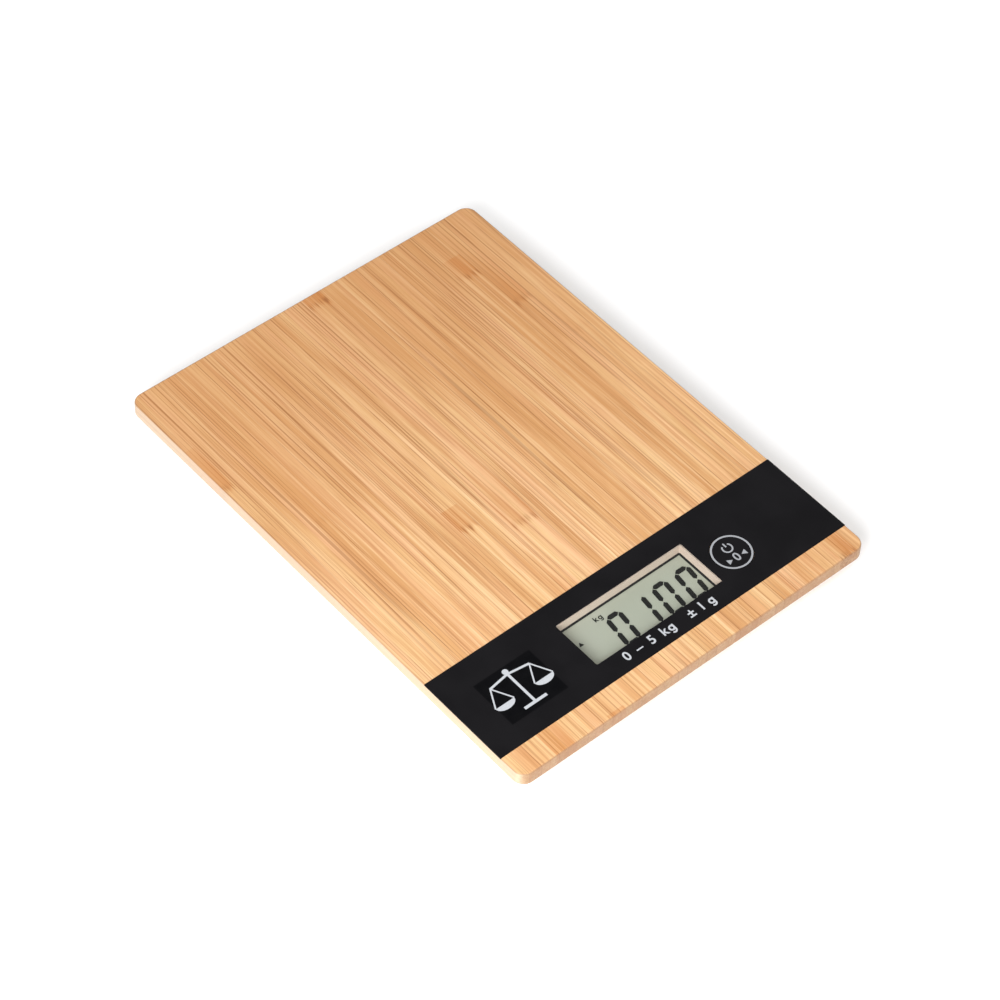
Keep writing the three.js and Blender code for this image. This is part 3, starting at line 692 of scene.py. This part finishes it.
def prism(outline, low, high):
    """A closed mesh from a flat outline of (x, y) points, counter-clockwise, between two levels."""
    mesh = bpy.data.meshes.new("prism")
    count = len(outline)
    vertices = [(x, y, low) for x, y in outline] + [(x, y, high) for x, y in outline]
    faces = [tuple(reversed(range(count))), tuple(range(count, 2 * count))]
    for i in range(count):
        j = (i + 1) % count
        faces.append((i, j, count + j, count + i))
    mesh.from_pydata(vertices, [], faces)
    return mesh


def rectangle(middle_x, middle_y, half_x, half_y):
    """The corners of an upright rectangle, counter-clockwise from the low left."""
    left, right = middle_x - half_x, middle_x + half_x
    near, far = middle_y - half_y, middle_y + half_y
    return [(left, near), (right, near), (right, far), (left, far)]


def merged(name, meshes):
    """Several separate solids as one mesh."""
    build = bmesh.new()
    for mesh in meshes:
        build.from_mesh(mesh)
    whole = bpy.data.meshes.new(name)
    build.to_mesh(whole)
    build.free()
    return whole


def united(name, meshes):
    """Solids that overlap each other or themselves, joined into one skin."""
    objects = [bpy.data.objects.new("part", mesh) for mesh in meshes]
    group = bpy.data.collections.new("parts")
    others = bpy.data.collections.new("others")
    for collection in (group, others):
        scene.collection.children.link(collection)
    for item in objects:
        group.objects.link(item)
    for item in objects[1:]:
        others.objects.link(item)
    first = objects[0]
    boolean = first.modifiers.new("join", "BOOLEAN")
    boolean.operation = "UNION"
    boolean.solver = "EXACT"
    boolean.operand_type = "COLLECTION"
    boolean.collection = others
    boolean.use_self = True
    bpy.context.view_layer.update()
    seen = first.evaluated_get(bpy.context.evaluated_depsgraph_get())
    mesh = bpy.data.meshes.new_from_object(seen)
    mesh.name = name
    for item in objects:
        bpy.data.objects.remove(item)
    for collection in (group, others):
        bpy.data.collections.remove(collection)
    return mesh


def arc(centre, radius, start, end, steps):
    """Points on a circle between two angles in degrees."""
    points = []
    for i in range(steps + 1):
        angle = math.radians(start + (end - start) * i / steps)
        points.append((centre[0] + radius * math.cos(angle), centre[1] + radius * math.sin(angle)))
    return points


# a bend's outer corner reaches no further than the width over twice this
MITRE_LIMIT = 0.3


def ribbon(points, width):
    """The outline of a line of that width along an open run of points, with square ends."""
    left, right = [], []
    for i, point in enumerate(points):
        here = Vector(point)
        before = Vector(points[max(i - 1, 0)])
        after = Vector(points[min(i + 1, len(points) - 1)])
        into = (here - before).normalized() if i else (after - here).normalized()
        out = (after - here).normalized() if i < len(points) - 1 else into
        normal = Vector((-(into + out).y, (into + out).x)).normalized()
        reach = width / 2 / max(normal.dot(Vector((-into.y, into.x))), MITRE_LIMIT)
        left.append(tuple(here + normal * reach))
        right.append(tuple(here - normal * reach))
    return right + left[::-1]


def strokes(lines, low, high):
    """Lines, each a run of points and a width, as separate closed meshes."""
    return [prism(ribbon(points, width), low, high) for points, width in lines]


def closed_ring(sections):
    """A closed mesh through four-point sections that follow each other round a loop."""
    mesh = bpy.data.meshes.new("ring")
    vertices = [point for section in sections for point in section]
    faces = []
    for i in range(len(sections)):
        a, b = 4 * i, 4 * ((i + 1) % len(sections))
        for k in range(4):
            m = (k + 1) % 4
            faces.append((a + k, a + m, b + m, b + k))
    mesh.from_pydata(vertices, [], faces)
    build = bmesh.new()
    build.from_mesh(mesh)
    bmesh.ops.recalc_face_normals(build, faces=build.faces)
    build.to_mesh(mesh)
    build.free()
    return mesh


def washer(centre, inner, outer, low, high, steps):
    """A flat ring as a closed mesh."""
    sections = []
    for i in range(steps):
        angle = 2 * math.pi * i / steps
        corners = ((inner, low), (outer, low), (outer, high), (inner, high))
        sections.append([
            (centre[0] + radius * math.cos(angle), centre[1] + radius * math.sin(angle), level)
            for radius, level in corners
        ])
    return closed_ring(sections)


def border(middle, half_x, half_y, width, low, high):
    """A flat rectangular frame of that width as a closed mesh."""
    outer = rectangle(*middle, half_x, half_y)
    inner = rectangle(*middle, half_x - width, half_y - width)
    return closed_ring([
        [(*out, low), (*into, low), (*into, high), (*out, high)]
        for out, into in zip(outer, inner)
    ])


GLYPH_STEPS = 4
GLYPH_WELD = 1e-7


def lettering(text, height, middle, low, high, bold, spread=1.0):
    """Generic characters as a thin closed mesh, centred on middle."""
    data = bpy.data.curves.new("text", "FONT")
    data.body = text
    data.size = height
    data.align_x = "CENTER"
    data.align_y = "CENTER"
    data.extrude = (high - low) / 2
    data.resolution_u = GLYPH_STEPS
    data.offset = bold
    data.space_character = spread
    carrier = bpy.data.objects.new("text", data)
    scene.collection.objects.link(carrier)
    bpy.context.view_layer.update()
    seen = carrier.evaluated_get(bpy.context.evaluated_depsgraph_get())
    mesh = bpy.data.meshes.new_from_object(seen)
    bpy.data.objects.remove(carrier)
    mesh.transform(Matrix.Translation((middle[0], middle[1], (low + high) / 2)))
    build = bmesh.new()
    build.from_mesh(mesh)
    bmesh.ops.remove_doubles(build, verts=build.verts, dist=GLYPH_WELD)
    build.to_mesh(mesh)
    build.free()
    return united("text", [mesh])


def letter_g(left, foot, tall, line, low, high):
    """A plain g, as a closed mesh: an open bowl, and a stem that ends in a hook."""
    radius = (tall - line) / 2
    middle = left + line / 2 + radius
    bowl = arc((middle, foot + tall / 2), radius, 25, 335, 24)
    hook = arc((middle, foot + line * 0.1), radius, 0, -145, 14)
    stem = [(middle + radius, foot + tall), *hook]
    return united("letter_g", strokes([(bowl, line), (stem, line)], low, high))


# ------------------------------------------------------------------ display
INK = 0.03 * MM
SHOWN_LOW = lcd_high.z + INK / 2
SHOWN_HIGH = SHOWN_LOW + INK

DIGIT_HEIGHT = 16.0 * MM
DIGIT_WIDTH = 7.9 * MM
DIGIT_PITCH = 11.3 * MM
DIGIT_LEAN = math.tan(math.radians(7))
DIGIT_TOP_Y = strip_y + 6.2 * MM
LAST_DIGIT_X = 25.0 * MM
SEGMENT_WIDTH = 2.1 * MM
SEGMENT_GAP = 0.18 * MM
SEGMENTS_OF = {"0": "abcdef", "1": "bc"}
READING = "0100"

POINT_SIDE = 1.6 * MM
POINT_X = LAST_DIGIT_X - 2.46 * DIGIT_PITCH
STEADY_HALF = 1.05 * MM
STEADY_HEIGHT = 1.89 * MM
STEADY_X = bezel_low.x + 6.0 * MM
STEADY_Y = strip_y + 1.6 * MM
UNIT_X = LAST_DIGIT_X - 3.4 * DIGIT_PITCH
UNIT_Y = DIGIT_TOP_Y + 1.4 * MM

BEZEL_WALL = 1.1 * MM
# width of the dark ring at the foot of the display walls, partly painted shade
EDGE_SHADE_WIDTH = 1.3 * MM


def segment_outline(start, end, width, gap):
    """A bar with pointed ends between two points."""
    start, end = Vector(start), Vector(end)
    along = (end - start).normalized()
    side = Vector((-along.y, along.x)) * width / 2
    a, b = start + along * gap, end - along * gap
    cap = along * width / 2
    return [a, a + cap - side, b - cap - side, b, b - cap + side, a + cap + side]


def digit_bars(centre_x):
    """The bars of one digit, by letter, as outlines that lean to the right."""
    half, tall = DIGIT_WIDTH / 2 - SEGMENT_WIDTH / 2, DIGIT_HEIGHT - SEGMENT_WIDTH
    top = DIGIT_TOP_Y - SEGMENT_WIDTH / 2
    middle, foot = top - tall / 2, top - tall
    ends = {
        "a": ((-half, top), (half, top)),
        "b": ((half, middle), (half, top)),
        "c": ((half, foot), (half, middle)),
        "d": ((-half, foot), (half, foot)),
        "e": ((-half, foot), (-half, middle)),
        "f": ((-half, middle), (-half, top)),
    }
    bars = {}
    for letter, (start, end) in ends.items():
        outline = segment_outline(start, end, SEGMENT_WIDTH, SEGMENT_GAP)
        bars[letter] = [(centre_x + p.x + (p.y - middle) * DIGIT_LEAN, p.y) for p in outline]
    return bars


def unit_sign():
    """The unit, kg, in small letters beside the first digit."""
    k = lettering("k", 3.2 * MM, (UNIT_X - 0.9 * MM, UNIT_Y), SHOWN_LOW, SHOWN_HIGH, 0.10 * MM)
    g = letter_g(UNIT_X + 0.4 * MM, UNIT_Y - 1.06 * MM, 1.7 * MM, 0.46 * MM, SHOWN_LOW, SHOWN_HIGH)
    return [k, g]


def make_display():
    """The weight shown, with its point, a steady mark and the unit, just proud of the glass."""
    outlines = []
    for i, character in enumerate(READING):
        bars = digit_bars(LAST_DIGIT_X - (len(READING) - 1 - i) * DIGIT_PITCH)
        outlines += [bars[letter] for letter in SEGMENTS_OF[character]]
    half, foot = POINT_SIDE / 2, DIGIT_TOP_Y - DIGIT_HEIGHT
    outlines.append(rectangle(POINT_X + half, foot + half, half, half))
    outlines.append([
        (STEADY_X - STEADY_HALF, STEADY_Y),
        (STEADY_X + STEADY_HALF, STEADY_Y),
        (STEADY_X, STEADY_Y + STEADY_HEIGHT),
    ])
    lit = [prism(outline, SHOWN_LOW, SHOWN_HIGH) for outline in outlines]
    mesh = merged("display_digits", lit + unit_sign())
    new_piece("display_digits", mesh, "segment", "scale_body")


def make_painted_edge_shade():
    """A thin dark ring on the display glass at the foot of the walls, in the foam's black: partly the
    seal's edge, partly painted shade for the dark gap there.
    """
    spill = EDGE_SHADE_WIDTH / 2 - BEZEL_WALL
    middle = (0, (bezel_high.y + bezel_low.y) / 2)
    half_x = bezel_high.x + spill
    half_y = (bezel_high.y - bezel_low.y) / 2 + spill
    mesh = border(middle, half_x, half_y, EDGE_SHADE_WIDTH, SHOWN_LOW, SHOWN_HIGH)
    # painted shade: a dark ring on the glass where the walls meet it
    new_piece("display_painted_edge_shade", mesh, "foam", "scale_body")


make_display()
# partly painted shade at the foot of the display walls
make_painted_edge_shade()


# ------------------------------------------------------------------ printed marks
PRINT_GAP = 0.004 * MM
PRINT_TOP = 0.03 * MM
BUTTON_LINE = 0.62 * MM
CAPACITY_HEIGHT = 5.6 * MM
CAPACITY_BOLD = 0.10 * MM
CAPACITY_Y = bezel_low.y - 2.9 * MM
EMBLEM_X = -58.8 * MM
EMBLEM_Y = strip_y - 1.6 * MM
EMBLEM_WIDTH = 26.4 * MM
EMBLEM_HEIGHT = 21.8 * MM
EMBLEM_LINE = 0.95 * MM
PATCH_GAP = 0.001 * MM
PATCH_DEPTH = 0.002 * MM


def print_levels(top):
    """The low and high faces of a print on a surface at that level."""
    return top + PRINT_GAP, top + PRINT_TOP


def power_sign(x, y, low, high):
    """A broken circle with a bar through its gap."""
    circle = arc((x, y), 2.0 * MM, 130, 410, 28)
    bar = [(x, y + 0.6 * MM), (x, y + 2.6 * MM)]
    return strokes([(circle, BUTTON_LINE), (bar, BUTTON_LINE)], low, high)


def zero_sign(x, y, low, high):
    """A zero between two arrows that point at it."""
    signs = [lettering("0", 5.4 * MM, (x, y), low, high, 0.08 * MM)]
    for side in (-1, 1):
        tip, tail, half = x + side * 2.3 * MM, x + side * 4.5 * MM, side * 1.25 * MM
        signs.append(prism([(tip, y), (tail, y - half), (tail, y + half)], low, high))
    return signs


def make_button_print():
    """A ring round the button's edge, and inside it a power sign over a zero between arrows."""
    low, high = print_levels(button_high.z)
    inner, outer = button_radius - 0.85 * MM, button_radius - 0.1 * MM
    signs = [washer((button_x, button_y), inner, outer, low, high, 96)]
    signs += power_sign(button_x, button_y + 2.4 * MM, low, high)
    signs += zero_sign(button_x, button_y - 3.0 * MM, low, high)
    mesh = merged("tare_button_print", signs)
    new_piece("tare_button_print", mesh, "ring_ink", "tare_button")


def make_capacity_print():
    """The capacity and the step, as plain numbers and units under the window."""
    levels = print_levels(strip_high.z)
    signs = [
        lettering(text, CAPACITY_HEIGHT, (x, CAPACITY_Y), *levels, CAPACITY_BOLD, spread)
        for text, x, spread in (("0 – 5 k", -11.0 * MM, 1.3), ("± 1", 14.0 * MM, 1.1))
    ]
    for left in (0.1 * MM, 20.0 * MM):
        signs.append(letter_g(left, CAPACITY_Y - 1.78 * MM, 2.7 * MM, 0.72 * MM, *levels))
    mesh = merged("capacity_print", signs)
    new_piece("capacity_print", mesh, "ink", "scale_body")


def make_emblem_patch():
    """The deeper black rectangle behind the emblem."""
    low = strip_high.z + PATCH_GAP
    outline = rectangle(EMBLEM_X, EMBLEM_Y, EMBLEM_WIDTH / 2, EMBLEM_HEIGHT / 2)
    mesh = prism(outline, low, low + PATCH_DEPTH)
    new_piece("emblem_patch", mesh, "patch", "scale_body")


def balance_pan(hook_x, hook_y, rim_y):
    """The outlines of a pan's two strings and of its bowl."""
    half, flatness = 4.3 * MM, 0.62
    strings = ribbon([(hook_x - half, rim_y), (hook_x, hook_y), (hook_x + half, rim_y)], EMBLEM_LINE * 0.62)
    bowl = [(x, rim_y + (y - rim_y) * flatness) for x, y in arc((hook_x, rim_y), half, 180, 360, 20)]
    return [strings, bowl]


def make_emblem():
    """A plain picture of a balance with two pans."""
    x, y = EMBLEM_X, EMBLEM_Y
    top, foot, rim = y + 8.0 * MM, y - 8.2 * MM, y - 2.0 * MM
    hook, peak = top - 1.9 * MM, top - 0.6 * MM
    reach, base = 9.2 * MM, 5.2 * MM
    outlines = [
        ribbon([(x, foot), (x, top)], EMBLEM_LINE * 1.15),
        ribbon([(x - base, foot), (x + base, foot)], EMBLEM_LINE * 1.3),
        ribbon([(x - reach, hook), (x, peak), (x + reach, hook)], EMBLEM_LINE),
        arc((x, top + 0.6 * MM), 1.25 * MM, 0, 345, 23),
    ]
    for side in (-1, 1):
        outlines += balance_pan(x + side * reach, hook, rim)
    low, high = print_levels(strip_high.z)
    mesh = united("emblem_balance", [prism(outline, low, high) for outline in outlines])
    new_piece("emblem_balance", mesh, "ink", "scale_body")


make_button_print()
make_capacity_print()
make_emblem_patch()
make_emblem()


# ------------------------------------------------------------------ marks under the housing
GRIP_RIBS = 4
GRIP_PITCH = 1.5 * MM
GRIP_LENGTH = 7.0 * MM
GRIP_WIDTH = 0.6 * MM
GRIP_START_Y = cover_low.y + 3.0 * MM
GRIP_SUNK = 0.05 * MM
GRIP_PROUD = 0.25 * MM
ARROW_GAP = 0.6 * MM
ARROW_HALF = 2.2 * MM
ARROW_LENGTH = 3.0 * MM
PLUS_GAP = 0.01 * MM
PLUS_DEPTH = 0.03 * MM
PLUS_HALF = 2.6 * MM
PLUS_LINE_HALF = 0.45 * MM


def make_cover_grip():
    """Four grip ribs by the thumb recess, and an arrow that points to it, raised from the cover."""
    low, high = cover_low.z - GRIP_PROUD, cover_low.z + GRIP_SUNK
    half = GRIP_LENGTH / 2
    rows = [GRIP_START_Y + i * GRIP_PITCH for i in range(GRIP_RIBS)]
    raised = strokes([([(-half, y), (half, y)], GRIP_WIDTH) for y in rows], low, high)
    tip = GRIP_START_Y + GRIP_RIBS * GRIP_PITCH + ARROW_GAP
    arrow = [(0, tip), (ARROW_HALF, tip + ARROW_LENGTH), (-ARROW_HALF, tip + ARROW_LENGTH)]
    raised.append(prism(arrow, low, high))
    mesh = merged("battery_cover_grip", raised)
    new_piece("battery_cover_grip", mesh, "white", "battery_cover")


def make_polarity_mark():
    """A plus sign on the face of the cell that the open cover shows."""
    high = cell_low.z - PLUS_GAP
    low = high - PLUS_DEPTH
    x, y = (cell_low.x + cell_high.x) / 2, (cell_low.y + cell_high.y) / 2
    half, thin = PLUS_HALF, PLUS_LINE_HALF
    corners = [
        (thin, -half), (thin, -thin), (half, -thin), (half, thin), (thin, thin), (thin, half),
        (-thin, half), (-thin, thin), (-half, thin), (-half, -thin), (-thin, -thin), (-thin, -half),
    ]
    mesh = prism([(x + dx, y + dy) for dx, dy in corners], low, high)
    new_piece("coin_cell_plus", mesh, "foam", "scale_body")


make_cover_grip()
make_polarity_mark()


# ------------------------------------------------------------------ floor
FLOOR_REACH = 6.0


def floor_material():
    """Almost white, with a very faint cloud."""
    g = Graph("pale_floor")
    cloud = g.noise(g.point(), scale=3)
    g.set(
        Base_Color=g.mix(cloud, (0.96, 0.96, 0.96), (0.98, 0.98, 0.98)),
        Roughness=0.8,
        Specular_IOR_Level=0.1,
    )
    return g.material


def make_floor():
    """A plain floor at z = 0."""
    mesh = bpy.data.meshes.new("floor")
    corners = rectangle(0, 0, FLOOR_REACH, FLOOR_REACH)
    mesh.from_pydata([(x, y, 0) for x, y in corners], [], [(0, 1, 2, 3)])
    floor = bpy.data.objects.new("floor", mesh)
    scene.collection.objects.link(floor)
    floor.data.materials.append(floor_material())


make_floor()
